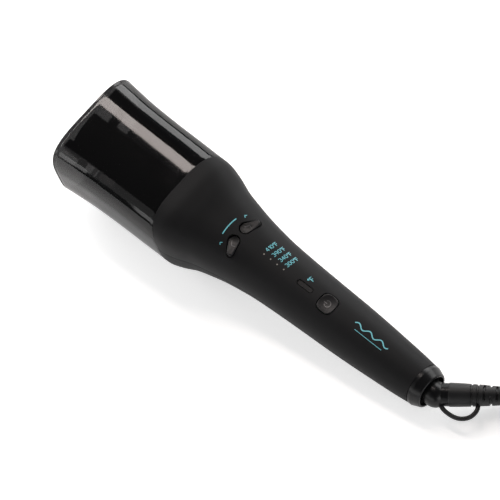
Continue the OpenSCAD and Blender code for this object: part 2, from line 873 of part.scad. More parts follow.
front_shell();
rear_shell();
chamber_hood();
chamber_bulkhead();
guide_rail_left();
guide_rail_right();
heating_barrel();
barrel_cap();
barrel_flange();
ceramic_heater();
heat_spreader();
temperature_sensor();
thermal_fuse();
front_bush();
rear_bush();
gear_plate_front();
gear_plate_rear();
gearbox_pillars();
gearbox_screws();
gear_axle();
motor_body();
circuit_board();
switch_bodies();
board_parts();
status_lights();
light_windows();
indicator_lens();
shell_screws();
collar_ring();
swivel_socket();
contact_leaves();
drive_shaft();
winder_rotor();
winder_vane();
winder_hooks();
hook_studs();
winder_nut();
output_gear();
compound_gear();
motor_shaft();
motor_pinion();
direction_button_left();
left_switch_plunger();
direction_button_right();
right_switch_plunger();
power_button();
power_switch_plunger();
swivel_neck();
swivel_elbow();
slip_rings();
strain_relief_boot();
hanging_loop();
cord_lead();
cord_coil();
cord_end();
cord_ties();
plug_body();
plug_blades();
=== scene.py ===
import json
import math

import bpy
import numpy as np
from mathutils import Matrix


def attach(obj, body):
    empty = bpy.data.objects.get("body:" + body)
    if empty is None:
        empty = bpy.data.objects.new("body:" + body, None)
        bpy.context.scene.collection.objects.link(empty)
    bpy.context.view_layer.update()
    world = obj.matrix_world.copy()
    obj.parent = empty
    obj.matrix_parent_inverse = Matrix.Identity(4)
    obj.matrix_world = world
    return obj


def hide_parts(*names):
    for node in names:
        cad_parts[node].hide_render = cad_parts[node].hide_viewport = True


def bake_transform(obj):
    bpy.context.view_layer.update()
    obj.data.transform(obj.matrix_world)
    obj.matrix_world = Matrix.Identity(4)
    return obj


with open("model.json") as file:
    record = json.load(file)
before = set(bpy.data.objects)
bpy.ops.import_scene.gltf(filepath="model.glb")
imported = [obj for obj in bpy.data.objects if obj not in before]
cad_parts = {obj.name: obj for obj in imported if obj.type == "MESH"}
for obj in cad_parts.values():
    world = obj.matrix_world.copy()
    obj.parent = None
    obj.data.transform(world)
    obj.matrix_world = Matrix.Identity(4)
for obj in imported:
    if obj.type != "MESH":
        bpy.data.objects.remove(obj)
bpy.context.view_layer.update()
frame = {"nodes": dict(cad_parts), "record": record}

# ---- the tool's own axis, read from the winder's joint ----

spin = next(j for j in frame["record"]["behaviour"]["joints"] if j["name"] == "winder_spin")
AXIS = np.array(spin["axis"], float)
AXIS /= np.linalg.norm(AXIS)
SIDE = np.array([0.0, 1.0, 0.0])
UP = np.array([-AXIS[2], 0.0, AXIS[0]])
MOUTH = np.array(spin["pos_m"], float) - 0.101 * AXIS


def place(x, y, z):
    """Tool point in mm (x from the mouth, y sideways, z towards the controls) to the row frame in metres."""
    x, y, z = np.broadcast_arrays(np.asarray(x, float), y, z)
    return MOUTH + (x[..., None] * AXIS + y[..., None] * SIDE + z[..., None] * UP) / 1000


# ---- camera: the photo's angle ----

YAW, ROLL, TURN = math.radians(24), math.radians(12), math.radians(37.5)
back = math.sin(YAW) * AXIS - math.cos(YAW) * math.sin(ROLL) * SIDE + math.cos(YAW) * math.cos(ROLL) * UP
along = math.cos(YAW) * AXIS + math.sin(YAW) * math.sin(ROLL) * SIDE - math.sin(YAW) * math.cos(ROLL) * UP
across = np.cross(back, along)
right = math.cos(TURN) * along + math.sin(TURN) * across
top = -math.sin(TURN) * along + math.cos(TURN) * across
DISTANCE, LENS = 4.722, 500
target = place(145, 1.1, 0)
eye = target + DISTANCE * back
camera_data = bpy.data.cameras.new("camera")
camera_data.lens = LENS
camera_data.sensor_width = 36
camera_data.clip_end = 20
camera = bpy.data.objects.new("camera", camera_data)
bpy.context.scene.collection.objects.link(camera)
camera.matrix_world = Matrix(
    [[*map(float, (right[i], top[i], back[i], eye[i]))] for i in range(3)] + [[0, 0, 0, 1]])
bpy.context.scene.camera = camera


# ---- mesh helpers ----

def piece(name, verts, faces, material, body="housing", sharp=40):
    """A mesh object with one material, which rides on a body if it has one."""
    mesh = bpy.data.meshes.new(name)
    mesh.from_pydata([tuple(map(float, v)) for v in verts], [], [tuple(map(int, f)) for f in faces])
    mesh.validate()
    mesh.update()
    mesh.shade_smooth()
    mesh.set_sharp_from_angle(angle=math.radians(sharp))
    mesh.materials.append(material)
    obj = bpy.data.objects.new(name, mesh)
    bpy.context.scene.collection.objects.link(obj)
    if body:
        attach(obj, body)
    return obj


def grid_faces(rows, cols, wrap_rows=False, wrap_cols=True, start=0):
    """Quads between rows of points; they look outwards on a tube that runs along +X and turns from Y to Z."""
    out = []
    for i in range(rows if wrap_rows else rows - 1):
        for j in range(cols if wrap_cols else cols - 1):
            a, b = start + i * cols, start + (i + 1) % rows * cols
            k = (j + 1) % cols
            out.append((a + j, a + k, b + k, b + j))
    return out


def capped(rows):
    """A closed body from rings of points, with flat ends."""
    rows = [np.asarray(r) for r in rows]
    n = len(rows[0])
    faces = grid_faces(len(rows), n)
    faces += [tuple(range(n))[::-1], tuple((len(rows) - 1) * n + i for i in range(n))]
    return np.concatenate(rows), faces


def join(parts):
    """Several (verts, faces) as one list of each."""
    verts, faces, count = [], [], 0
    for v, f in parts:
        verts.append(np.asarray(v))
        faces += [tuple(i + count for i in face) for face in f]
        count += len(v)
    return np.concatenate(verts), faces


def sweep(path, radius, sides=24):
    """A round tube along a path, with a radius for each point; the ends are closed."""
    path = np.asarray(path, float)
    tangent = np.gradient(path, axis=0)
    tangent /= np.linalg.norm(tangent, axis=1)[:, None]
    radius = np.broadcast_to(radius, len(path))
    side = np.cross(tangent[0], [0, 0, 1])
    if np.linalg.norm(side) < 0.1:
        side = np.cross(tangent[0], [0, 1, 0])
    rings = []
    angles = 2 * np.pi * np.arange(sides) / sides
    for p, t, r in zip(path, tangent, radius):
        side = side - t * side.dot(t)
        side /= np.linalg.norm(side)
        other = np.cross(t, side)
        rings.append(p + r * (np.cos(angles)[:, None] * side + np.sin(angles)[:, None] * other))
    return capped(rings)


def smooth_path(points, per=8):
    """Catmull-Rom curve through points."""
    p = np.asarray(points, float)
    p = np.vstack([2 * p[0] - p[1], p, 2 * p[-1] - p[-2]])
    out = []
    for i in range(1, len(p) - 2):
        for s in np.arange(per) / per:
            out.append(0.5 * (2 * p[i] + (p[i + 1] - p[i - 1]) * s
                              + (2 * p[i - 1] - 5 * p[i] + 4 * p[i + 1] - p[i + 2]) * s ** 2
                              + (3 * p[i] - p[i - 1] - 3 * p[i + 1] + p[i + 2]) * s ** 3))
    return np.array(out + [p[-2]])


def even(path, step):
    """The same path with points an even step apart."""
    path = np.asarray(path, float)
    run = np.concatenate([[0], np.cumsum(np.linalg.norm(np.diff(path, axis=0), axis=1))])
    at = np.linspace(0, run[-1], max(3, int(round(run[-1] / step)) + 1))
    return np.stack([np.interp(at, run, path[:, k]) for k in range(3)], axis=1)


def carve(obj, cutters):
    """Cuts closed bodies out of a piece."""
    verts, faces = join(cutters)
    mesh = bpy.data.meshes.new("cutter")
    mesh.from_pydata([tuple(map(float, v)) for v in verts], [], faces)
    mesh.update()
    tool = bpy.data.objects.new("cutter", mesh)
    bpy.context.scene.collection.objects.link(tool)
    modifier = obj.modifiers.new("cut", "BOOLEAN")
    modifier.object = tool
    modifier.operation = "DIFFERENCE"
    modifier.solver = "EXACT"
    graph = bpy.context.evaluated_depsgraph_get()
    result = bpy.data.meshes.new_from_object(obj.evaluated_get(graph))
    obj.modifiers.clear()
    obj.data = result
    result.shade_smooth()
    result.set_sharp_from_angle(angle=math.radians(35))
    bpy.data.objects.remove(tool)


def step01(v, a, b):
    """Smooth step from 0 at a to 1 at b."""
    t = np.clip((np.asarray(v, float) - a) / (b - a), 0, 1)
    return t * t * (3 - 2 * t)


# ---- outer form, in tool mm: half sizes and squareness of the section at each x ----

WALL = 1.8
HANDLE_END = 304.9
WIDTHS = np.array([
    (0, 40.3), (10, 39.4), (30, 37.9), (60, 37.3), (97, 37.3), (108, 35.1), (120, 31), (132, 28.4),
    (144, 26.1), (156, 24.4), (168, 23.1), (191, 21.8), (215, 20.9), (239, 20.1), (257, 19.2), (275, 18),
    (293, 16.7), (305, 15.5)])
DEPTHS = np.array([
    (0, 37.01), (10, 36.5), (30, 35.51), (60, 35), (97, 35), (108, 32.9), (120, 29.3), (132, 27),
    (144, 25.2), (156, 23.7), (168, 22.4), (191, 21.2), (215, 20.3), (239, 19.5), (257, 18.6), (275, 17.5),
    (293, 16.2), (305, 15.1)])
SQUARE = np.array([(0, 3.7), (60, 3.9), (97, 3.6), (120, 2.9), (144, 2.4), (180, 2.2), (305, 2.05)])


def monotone(table, x):
    """Smooth curve through the table's points that doesn't overshoot."""
    xs, ys = table[:, 0], table[:, 1]
    h, d = np.diff(xs), np.diff(ys) / np.diff(xs)
    m = np.zeros(len(xs))
    for i in range(1, len(xs) - 1):
        if d[i - 1] * d[i] > 0:
            w1, w2 = 2 * h[i] + h[i - 1], h[i] + 2 * h[i - 1]
            m[i] = (w1 + w2) / (w1 / d[i - 1] + w2 / d[i])
    m[0], m[-1] = d[0], d[-1]
    x = np.clip(np.asarray(x, float), xs[0], xs[-1])
    i = np.clip(np.searchsorted(xs, x, side="right") - 1, 0, len(h) - 1)
    t = (x - xs[i]) / h[i]
    return ((1 + 2 * t) * (1 - t) ** 2 * ys[i] + t * (1 - t) ** 2 * h[i] * m[i]
            + t * t * (3 - 2 * t) * ys[i + 1] + t * t * (t - 1) * h[i] * m[i + 1])


def outline(x, angle, inset=0.0):
    """Tool-frame y and z of the skin at x, in the direction of an angle from +Y towards the controls."""
    e = monotone(SQUARE, x)
    w, d = monotone(WIDTHS, x) - inset, monotone(DEPTHS, x) - inset
    c, s = np.cos(angle), np.sin(angle)
    r = (np.abs(c / w) ** e + np.abs(s / d) ** e) ** (-1 / e)
    return r * c, r * s


def seam(angle):
    """Where the hood meets the shells, in the direction of that angle."""
    y, _ = outline(90.0, angle)
    return 88 + 5.5 * np.abs(y / monotone(WIDTHS, 90.0)) ** 3.66


def top_z(x, y):
    """Height of the front face above the axis at x, y."""
    e = monotone(SQUARE, x)
    w, d = monotone(WIDTHS, x), monotone(DEPTHS, x)
    return d * (1 - np.clip(np.abs(np.asarray(y) / w), 0, 0.999) ** e) ** (1 / e)


# ---- materials ----

def material(name, base, rough, metal=0.0, grain=1200, vary=0.12, bump=0.015, spec=0.5, alpha=1.0,
             spread=(1, 1, 1)):
    """A finish with fine uneven colour, gloss and surface."""
    mat = bpy.data.materials.new(name)
    mat.use_nodes = True
    nodes, links = mat.node_tree.nodes, mat.node_tree.links
    shader = nodes["Principled BSDF"]
    shader.inputs["Metallic"].default_value = metal
    shader.inputs["Specular IOR Level"].default_value = spec
    shader.inputs["Alpha"].default_value = alpha
    where = nodes.new("ShaderNodeTexCoord")
    fit = nodes.new("ShaderNodeMapping")
    fit.inputs["Scale"].default_value = spread
    links.new(where.outputs["Object"], fit.inputs["Vector"])
    noise = nodes.new("ShaderNodeTexNoise")
    noise.inputs["Scale"].default_value = grain
    noise.inputs["Detail"].default_value = 3
    links.new(fit.outputs["Vector"], noise.inputs["Vector"])
    broad = nodes.new("ShaderNodeTexNoise")
    broad.inputs["Scale"].default_value = grain / 14
    links.new(fit.outputs["Vector"], broad.inputs["Vector"])
    tone = nodes.new("ShaderNodeMix")
    tone.data_type = "RGBA"
    tone.inputs["A"].default_value = (*[c * (1 - vary) for c in base], 1)
    tone.inputs["B"].default_value = (*[min(1, c * (1 + vary)) for c in base], 1)
    links.new(broad.outputs["Fac"], tone.inputs["Factor"])
    links.new(tone.outputs["Result"], shader.inputs["Base Color"])
    gloss = nodes.new("ShaderNodeMapRange")
    gloss.inputs["To Min"].default_value = max(0.0, rough - 0.04)
    gloss.inputs["To Max"].default_value = min(1.0, rough + 0.04)
    links.new(broad.outputs["Fac"], gloss.inputs["Value"])
    links.new(gloss.outputs["Result"], shader.inputs["Roughness"])
    if bump:
        relief = nodes.new("ShaderNodeBump")
        relief.inputs["Strength"].default_value = bump
        relief.inputs["Distance"].default_value = 0.0002
        links.new(noise.outputs["Fac"], relief.inputs["Height"])
        links.new(relief.outputs["Normal"], shader.inputs["Normal"])
    return mat


MATS = {
    "soft_touch_black": material("soft_touch_black", (0.0085, 0.0085, 0.009), 0.56, grain=2500, bump=0.12,
                                 spec=0.12),
    "smoked_clear": material("smoked_clear", (0.003, 0.003, 0.0032), 0.06, grain=300, bump=0, spec=0.36,
                             alpha=0.86),
    "smoked_hooks": material("smoked_hooks", (0.02, 0.019, 0.018), 0.12, bump=0, alpha=0.8),
    "black_plastic": material("black_plastic", (0.0045, 0.0045, 0.005), 0.3, grain=2000, bump=0.05,
                              spec=0.24),
    "button_black": material("button_black", (0.009, 0.009, 0.0095), 0.34, grain=2600, bump=0.25, spec=0.2),
    "barrel_coating": material("barrel_coating", (0.03, 0.03, 0.034), 0.3, metal=0.5, grain=1600, bump=0.05),
    "heat_resin": material("heat_resin", (0.03, 0.025, 0.022), 0.5, bump=0.08),
    "white_ceramic": material("white_ceramic", (0.8, 0.78, 0.72), 0.5, grain=1800, bump=0.06, vary=0.05),
    "aluminium": material("aluminium", (0.72, 0.73, 0.75), 0.32, metal=1, spread=(0.05, 1, 1), bump=0.05),
    "sensor_orange": material("sensor_orange", (0.6, 0.2, 0.05), 0.3),
    "bronze": material("bronze", (0.6, 0.4, 0.18), 0.38, metal=1, grain=3000, bump=0.1),
    "brass": material("brass", (0.78, 0.58, 0.26), 0.24, metal=1, bump=0.03),
    "sheet_steel": material("sheet_steel", (0.52, 0.53, 0.55), 0.36, metal=1, spread=(1, 0.08, 1), bump=0.05),
    "bright_steel": material("bright_steel", (0.72, 0.72, 0.74), 0.16, metal=1, bump=0.02),
    "board_green": material("board_green", (0.015, 0.14, 0.055), 0.35, bump=0.05),
    "switch_white": material("switch_white", (0.72, 0.72, 0.68), 0.45, vary=0.04),
    "switch_red": material("switch_red", (0.55, 0.05, 0.035), 0.4),
    "chip_black": material("chip_black", (0.015, 0.015, 0.015), 0.5, bump=0.05),
    "light_window": material("light_window", (0.16, 0.15, 0.13), 0.3, bump=0),
    "lens_grey": material("lens_grey", (0.01, 0.01, 0.0105), 0.4, bump=0, spec=0.12),
    "gear_acetal": material("gear_acetal", (0.8, 0.78, 0.71), 0.42, vary=0.04),
    "soft_rubber": material("soft_rubber", (0.008, 0.008, 0.0085), 0.46, grain=1800, bump=0.1, spec=0.35),
    "cord_jacket": material("cord_jacket", (0.008, 0.008, 0.0085), 0.4, grain=1500, bump=0.08, spec=0.35),
    "tie_fabric": material("tie_fabric", (0.02, 0.02, 0.022), 0.85, grain=4500, bump=0.5),
}
TEAL = material("printed_teal", (0.13, 0.46, 0.52), 0.45, grain=3000, vary=0.08, bump=0.02)
RELIEF = material("raised_mark", (0.05, 0.05, 0.052), 0.3, grain=2000, bump=0.02)
FLOOR = material("floor", (0.86, 0.86, 0.86), 0.7, grain=60, vary=0.01, bump=0)
FLOOR.node_tree.nodes["Principled BSDF"].inputs["Emission Color"].default_value = (1, 1, 1, 1)
FLOOR.node_tree.nodes["Principled BSDF"].inputs["Emission Strength"].default_value = 0.52


def soften_edges(mat, straight, grazing):
    """Gloss that falls from one level, seen straight on, to another where the surface turns away."""
    nodes, links = mat.node_tree.nodes, mat.node_tree.links
    weight = nodes.new("ShaderNodeLayerWeight")
    weight.inputs["Blend"].default_value = 0.5
    level = nodes.new("ShaderNodeMapRange")
    level.inputs["From Min"].default_value = 0.25
    level.inputs["From Max"].default_value = 0.7
    level.inputs["To Min"].default_value = straight
    level.inputs["To Max"].default_value = grazing
    links.new(weight.outputs["Facing"], level.inputs["Value"])
    links.new(level.outputs["Result"], nodes["Principled BSDF"].inputs["Specular IOR Level"])


soften_edges(MATS["smoked_clear"], 0.4, 0.04)

for part in frame["record"]["subparts"]:
    mesh = frame["nodes"][part["node"]].data
    mesh.materials.clear()
    mesh.materials.append(MATS[part["material_slot"]])


def volume(verts, faces):
    """Signed volume, positive when the faces look outwards."""
    v = np.asarray(verts)
    total = 0.0
    for f in faces:
        a = v[f[0]]
        for i in range(1, len(f) - 1):
            total += a.dot(np.cross(v[f[i]], v[f[i + 1]]))
    return total / 6


def outward(part):
    """The same closed body with its faces looking outwards."""
    verts, faces = part
    return (verts, faces) if volume(verts, faces) > 0 else (verts, [f[::-1] for f in faces])


# ---- shells and hood ----

def shell_body(front, stations=110, arc=96):
    """Half of the housing and handle as a closed wall, with small chamfers along its edges."""
    start = 0.0 if front else math.pi
    angle = start + math.pi * np.arange(arc + 1) / arc
    sign = 1 if front else -1
    chamfer, side_chamfer, half_gap = 0.22, 0.18, 0.06
    t = np.concatenate([[0, 0.0012], np.linspace(0.004, 1, stations)])
    s0 = seam(angle) + 0.1
    grids = []
    for inset in (0.0, WALL):
        rows = []
        for k, s in enumerate(t):
            x = s0 + s * (HANDLE_END - s0)
            y, z = outline(x, angle, inset + (chamfer if k == 0 and inset == 0 else 0))
            z = sign * np.maximum(sign * z, half_gap)
            if inset == 0:
                for e in (0, -1):
                    y[e] -= side_chamfer * np.sign(y[e])
            rows.append(place(x, y, z))
        grids.append(np.array(rows))
    n, m = len(t), arc + 1
    verts = np.concatenate([grids[0].reshape(-1, 3), grids[1].reshape(-1, 3)])
    half = n * m
    faces = grid_faces(n, m, wrap_cols=False)
    faces += [f[::-1] for f in grid_faces(n, m, wrap_cols=False, start=half)]
    for i in range(n - 1):
        a, b = i * m, (i + 1) * m
        faces.append((a, b, half + b, half + a))
        faces.append((a + arc, half + a + arc, half + b + arc, b + arc))
    for j in range(arc):
        faces.append((j, half + j, half + j + 1, j + 1))
        e = (n - 1) * m + j
        faces.append((e, e + 1, half + e + 1, half + e))
    return outward((verts, faces))


def prism(ring, z1, z2):
    """A closed body from a ring of tool x, y points, from z1 up to z2."""
    ring = np.asarray(ring, float)
    return outward(capped([place(ring[:, 0], ring[:, 1], z) for z in (z1, z2)]))


# Openings and buttons of the front, in tool mm: a leaf's circles are x, y and radius.
LEAF_BIG, LEAF_SMALL = (142.8, 6.1, 4.1), (146.0, 13.6, 2.4)
LEAF_GAP = 0.6
LEAF_CROWN = 24.3
POWER_X, POWER_HALF, POWER_HOLE = 223, 6.6, 7.15
LIGHTS_X, LIGHT_HOLE = (165, 171, 177, 183), 0.53
SLOT = (195.5, 209.5, 2.05)
SCREWS = [(125, 22), (125, -22), (256, 0)]
SCREW_HOLE, BOSS_R = 2.6, 3.4
FRONT_CUT, REAR_CUT = (12, 40), (-45, -5)


def circle(x, y, r, n=40):
    """Ring of tool x, y points round a centre."""
    a = 2 * np.pi * np.arange(n) / n
    return np.stack([x + r * np.cos(a), y + r * np.sin(a)], axis=1)


def leaf(side, grow=0.0, n=96):
    """Outline of a direction button: blunt by the centre line, narrow out and back."""
    a = 2 * np.pi * np.arange(n) / n
    d = np.stack([np.cos(a), np.sin(a)], axis=1)
    reach, ring = [], []
    for x, y, r in (LEAF_BIG, LEAF_SMALL):
        centre = np.array([x, side * y])
        reach.append(d @ centre + r + grow)
        ring.append(centre + (r + grow) * d)
    return np.where((reach[0] > reach[1])[:, None], *ring)


def rounded_square(half, n=96, e=3.2):
    """Outline of the power button, and of its hole."""
    a = 2 * np.pi * np.arange(n) / n
    r = half * (np.abs(np.cos(a)) ** e + np.abs(np.sin(a)) ** e) ** (-1 / e)
    return np.stack([POWER_X + r * np.cos(a), r * np.sin(a)], axis=1)


def slot_ring(x1, x2, half, n=24):
    """Outline of a slot with round ends."""
    a = np.pi * np.arange(n + 1) / n
    ends = [np.stack([x2 - half + half * np.sin(a), -half * np.cos(a)], axis=1),
            np.stack([x1 + half - half * np.sin(a), half * np.cos(a)], axis=1)]
    return np.concatenate(ends)


front = piece("front_shell_skin", *shell_body(True), MATS["soft_touch_black"])
carve(front, [prism(ring, *FRONT_CUT) for ring in (
    leaf(1, LEAF_GAP), leaf(-1, LEAF_GAP), rounded_square(POWER_HOLE), slot_ring(*SLOT),
    *[circle(x, 0, LIGHT_HOLE) for x in LIGHTS_X])])
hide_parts("front_shell")

rear = piece("rear_shell_skin", *shell_body(False), MATS["soft_touch_black"])
carve(rear, [prism(circle(x, y, SCREW_HOLE), *REAR_CUT) for x, y in SCREWS])
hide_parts("rear_shell")


def pipe(x, y, z1, z2, r_out, r_in, n=40):
    """A closed tube that stands towards the controls."""
    rows = [(r_out, z1), (r_out, z2), (r_in, z2), (r_in, z1)]
    verts = np.concatenate([place(*circle(x, y, r, n).T, z) for r, z in rows])
    return outward((verts, grid_faces(4, n, wrap_rows=True)))


bosses = piece("screw_bosses", *join([
    pipe(x, y, -(float(top_z(x, y)) - 1.2), -0.1, BOSS_R, SCREW_HOLE) for x, y in SCREWS]),
    MATS["soft_touch_black"])


# A shallow groove round the hood behind its lip: x from the mouth, and depth.
LIP_GROOVE = ((3.2, 0), (2.9, 0.12), (2.6, 0.3), (2.3, 0.3), (2.0, 0.12), (1.7, 0))


def hood_body(stations=70, arc=256):
    """The see-through hood: a wall with a rounded lip at the mouth."""
    angle = 2 * np.pi * np.arange(arc) / arc
    s0 = seam(angle)
    rows = []
    r = WALL / 2
    for s in np.linspace(1, 0.04, stations):
        x = r + s * (s0 - r)
        rows.append(place(x, *outline(x, angle, 0.15 if s == 1 else 0.0)))
    for x, inset in LIP_GROOVE:
        rows.append(place(x + 0 * angle, *outline(x, angle, inset)))
    for a in np.linspace(0, np.pi, 11):
        x = r - r * math.sin(a) + 0 * angle
        rows.append(place(x, *outline(x, angle, r - r * math.cos(a))))
    for s in np.linspace(0, 1, stations + 1)[1:]:
        x = r + s * (s0 - r)
        rows.append(place(x, *outline(x, angle, WALL)))
    return outward((np.concatenate(rows), grid_faces(len(rows), arc, wrap_rows=True)))


hood = piece("hood_skin", *hood_body(), MATS["smoked_clear"])
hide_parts("chamber_hood")


# ---- buttons and printed marks ----

def pad(rings, heights):
    """A closed pad from nested tool x, y rings, with a height for each point of each ring."""
    rows = [place(ring[:, 0], ring[:, 1], z) for ring, z in zip(rings, heights)]
    return outward(capped(rows))


def leaf_top(side, x, y):
    """Height of a direction button's face at x, y: flat, with a dish that is part of a sphere."""
    radius, depth = 18, 0.6
    dish = LEAF_CROWN + (radius - depth) - np.sqrt(radius ** 2 - (x - 142) ** 2 - (y - side * 6.5) ** 2)
    return np.minimum(LEAF_CROWN, dish)


def direction_pad(side):
    """A direction button with a rounded edge."""
    skirt, fillet = 3.4, 0.8
    middle = np.array([143.6, side * 8.4])
    rings, heights = [leaf(side), leaf(side)], [LEAF_CROWN - skirt, LEAF_CROWN - fillet]
    for a in np.linspace(0, np.pi / 2, 7):
        rings.append(leaf(side, -fillet + fillet * math.cos(a)))
        heights.append(LEAF_CROWN - fillet + fillet * math.sin(a))
    inner = leaf(side, -fillet)
    for k in (0.92, 0.84, 0.75, 0.65, 0.54, 0.42, 0.3, 0.18, 0.07):
        rings.append(middle + (inner - middle) * k)
        heights.append(LEAF_CROWN)
    return pad(rings, [np.minimum(z, leaf_top(side, *ring.T)) for ring, z in zip(rings, heights)])


for side, name, body in ((1, "left", "left_button"), (-1, "right", "right_button")):
    button = piece(f"direction_pad_{name}", *direction_pad(side), MATS["button_black"], body)
    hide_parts(f"direction_button_{name}")


POWER_CROWN = float(monotone(DEPTHS, POWER_X)) - 0.1


def power_top(x, y):
    """Height of the power button's face at x, y: flat, with a dish that is part of a sphere."""
    radius, depth = 30, 0.7
    dish = POWER_CROWN + (radius - depth) - np.sqrt(radius ** 2 - (x - POWER_X) ** 2 - y ** 2)
    return np.minimum(POWER_CROWN, dish)


def power_pad():
    """The power button with a rounded edge."""
    skirt, fillet = 1.9, 0.6
    rings, heights = [rounded_square(POWER_HALF)] * 2, [POWER_CROWN - skirt, POWER_CROWN - fillet]
    for a in np.linspace(0, np.pi / 2, 6):
        rings.append(rounded_square(POWER_HALF - fillet + fillet * math.cos(a)))
        heights.append(POWER_CROWN - fillet + fillet * math.sin(a))
    for k in (5.5, 5.0, 4.4, 3.7, 3.0, 2.2, 1.4, 0.6):
        rings.append(rounded_square(k, e=3.2 if k > 3 else 2.4))
        heights.append(POWER_CROWN)
    return pad(rings, [np.minimum(z, power_top(*ring.T)) for ring, z in zip(rings, heights)])


power = piece("power_pad", *power_pad(), MATS["button_black"], "power")
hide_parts("power_button")


def ribbon(points, width, surface, lift=0.06, sink=0.2):
    """A thin closed strip that follows a surface along tool x, y points."""
    p = np.asarray(points, float)
    p = even(np.column_stack([p, np.zeros(len(p))]), 0.35)[:, :2]
    t = np.gradient(p, axis=0)
    t /= np.linalg.norm(t, axis=1)[:, None]
    n = np.stack([-t[:, 1], t[:, 0]], axis=1)
    a, b = p + n * width / 2, p - n * width / 2
    rows = []
    for i in range(len(p)):
        corner = np.array([a[i], b[i]])
        z = surface(corner[:, 0], corner[:, 1])
        rows.append(np.array([place(*corner[0], z[0] + lift), place(*corner[1], z[1] + lift),
                              place(*corner[1], z[1] - sink), place(*corner[0], z[0] - sink)]))
    return outward(capped(rows))


def arc(cx, cy, rx, ry, a1, a2, n=20):
    """Points along part of an ellipse, between two angles in degrees."""
    a = np.radians(np.linspace(a1, a2, n))
    return [(cx + rx * math.cos(k), cy + ry * math.sin(k)) for k in a]


# Strokes of each figure in a box 0.6 wide and 1 high, x to the right and y up.
FIGURES = {
    "0": [arc(0.3, 0.5, 0.28, 0.48, 90, 450, 32)],
    "1": [[(0.12, 0.8), (0.34, 1.0), (0.34, 0.0)]],
    "3": [arc(0.28, 0.745, 0.26, 0.24, 150, -90) + arc(0.28, 0.26, 0.3, 0.26, 90, -150)],
    "4": [[(0.46, 0.0), (0.46, 1.0), (0.0, 0.3), (0.62, 0.3)]],
    "9": [arc(0.3, 0.7, 0.27, 0.29, 0, 360, 26), [(0.57, 0.7), (0.54, 0.4), (0.34, 0.0)]],
    "o": [arc(0.16, 0.86, 0.13, 0.13, 0, 360, 16)],
    "F": [[(0.05, 0.0), (0.05, 1.0), (0.52, 1.0)], [(0.05, 0.52), (0.44, 0.52)]],
}


def label(text, x, y, height, stroke):
    """Figures that read with +Y to the right and the mouth upwards; x, y is the lower left corner."""
    parts, lean = [], 0.14
    first = y
    for mark in text:
        for line in FIGURES[mark]:
            points = [(x - v * height + lean * (y - first + u * height), y + u * height) for u, v in line]
            parts.append(ribbon(points, stroke, top_z))
        y += height * (0.42 if mark == "o" else 0.5 if mark == "1" else 0.76)
    return parts


marks = []
for x, text in zip(LIGHTS_X, ("410oF", "390oF", "340oF", "300oF")):
    marks += label(text, x + 1.0, 2.9, 3.0, 0.42)
marks += label("oF", 204.2, 4.4, 3.9, 0.52)
marks.append(ribbon([(133.2 + 0.55 * (y / 7.0) ** 2, y) for y in np.linspace(-7.2, 6.9, 30)], 0.75, top_z))
marks.append(ribbon([(137.4, 11.6), (136.0, 12.6), (137.0, 13.8)], 0.5, top_z))
marks.append(ribbon([(137.4, -11.6), (136.0, -12.6), (137.0, -13.8)], 0.5, top_z))
wave = [(x, 1.6 + 1.3 * math.sin((x - 247) * 0.62)) for x in np.linspace(247, 277, 90)]
marks.append(ribbon(wave, 0.8, top_z))
marks.append(ribbon([(x, -2.4) for x in np.linspace(250, 274, 40)], 0.4, top_z))
piece("printed_marks", *join(marks), TEAL)

RAISED = (0.12, 0.3)
for side, name, body in ((1, "left", "left_button"), (-1, "right", "right_button")):
    arrow = ribbon([(141.2, side * 6.4), (143.6, side * 9.4), (146.0, side * 8.4)], 0.5,
                   lambda x, y: leaf_top(side, x, y), *RAISED)
    piece(f"direction_mark_{name}", *arrow, RELIEF, body)

open_ring = arc(POWER_X, 0, 2.3, 2.3, 215, 505, 40)
piece("power_mark", *join([ribbon(line, 0.5, power_top, *RAISED) for line in (
    open_ring, [(219.9, 0), (222.6, 0)])]), RELIEF, "power")


# ---- strain relief, loop and cord ----

ELBOW = place(317.5, 0, 0)
DIP, SWING = math.radians(7.5), math.radians(38)
ARM = np.array([math.cos(DIP) * math.cos(SWING), math.cos(DIP) * math.sin(SWING), -math.sin(DIP)])
ARM_SIDE = np.array([math.sin(SWING), -math.cos(SWING), 0.0])
ARM_DOWN = np.cross(ARM_SIDE, ARM)
if ARM_DOWN[2] > 0:
    ARM_DOWN = -ARM_DOWN


def arm(t, side=0.0, down=0.0):
    """Row-frame point t mm along the strain relief from the elbow, with offsets in mm."""
    return ELBOW + (t * ARM + side * ARM_SIDE + down * ARM_DOWN) / 1000


BOOT_START, BOOT_END = 9.4, 66.0
BOOT_BIG_R, BOOT_SMALL_R = 8.2, 4.4
RIB_START, RIB_PITCH = 24.0, 4.3


def boot_r(t):
    """Radius of the strain relief t mm from the elbow."""
    s = np.clip((t - BOOT_START) / (BOOT_END - BOOT_START), 0, 1)
    return BOOT_BIG_R + (BOOT_SMALL_R - BOOT_BIG_R) * s ** 1.5


